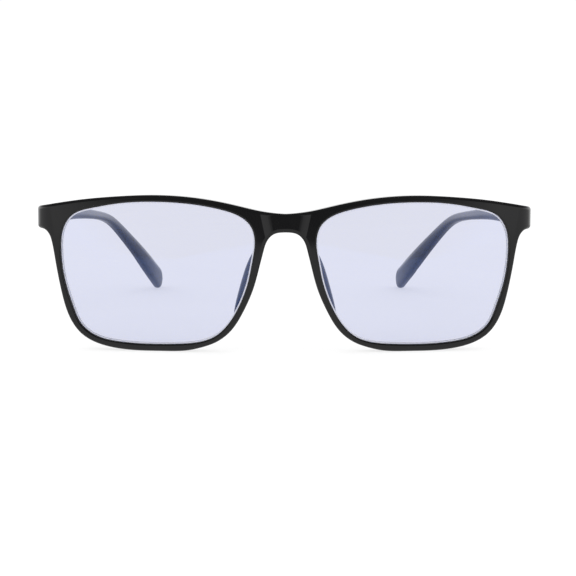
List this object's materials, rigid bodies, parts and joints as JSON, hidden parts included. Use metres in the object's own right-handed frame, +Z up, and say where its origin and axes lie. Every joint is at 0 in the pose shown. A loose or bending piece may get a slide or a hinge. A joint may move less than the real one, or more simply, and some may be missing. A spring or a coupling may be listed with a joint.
{
  "type": "blue light glasses",
  "caption": "Full-rim rectangular blue-light filter spectacles in gloss black plastic, with a smooth saddle bridge, bonded nose pads and folding temples.",
  "frame": {"origin": "centre of the bounding box in X and Y, at the height of the resting surface", "axes": "+Z up, the front faces -Y, the temples run back along +Y, the wearer's left is +X"},
  "size_m": [0.1446, 0.1426, 0.0452],
  "materials": {
    "front": "polished black acetate",
    "temple": "polished black acetate",
    "pad": "polished black acetate",
    "lens": "clear plastic with a faint lavender blue-filter tint",
    "hinge": "fine machined",
    "screw": "bright turned",
    "wire": "drawn wire"
  },
  "bodies": {
    "front": {"front_frame": "front", "lens_left": "lens", "nose_pad_left": "pad", "hinge_front_leaf_left": "hinge", "hinge_screw_left": "screw", "front_leaf_screw_1_left": "screw", "front_leaf_screw_2_left": "screw", "lens_right": "lens", "nose_pad_right": "pad", "hinge_front_leaf_right": "hinge", "hinge_screw_right": "screw", "front_leaf_screw_1_right": "screw", "front_leaf_screw_2_right": "screw"},
    "temple_left": {"temple_left": "temple", "temple_core_wire_left": "wire", "hinge_temple_leaf_left": "hinge", "temple_leaf_screw_1_left": "screw", "temple_leaf_screw_2_left": "screw"},
    "temple_right": {"temple_right": "temple", "temple_core_wire_right": "wire", "hinge_temple_leaf_right": "hinge", "temple_leaf_screw_1_right": "screw", "temple_leaf_screw_2_right": "screw"}
  },
  "joints": [
    {"name": "temple_left_fold", "type": "hinge", "parent": "front", "child": "temple_left", "pos_m": [0.06702, -0.05275, 0.03795], "axis": [0, 0, 1], "range_deg": [0, 83]},
    {"name": "temple_right_fold", "type": "hinge", "parent": "front", "child": "temple_right", "pos_m": [-0.06702, -0.05275, 0.03795], "axis": [0, 0, -1], "range_deg": [0, 78]}
  ]
}
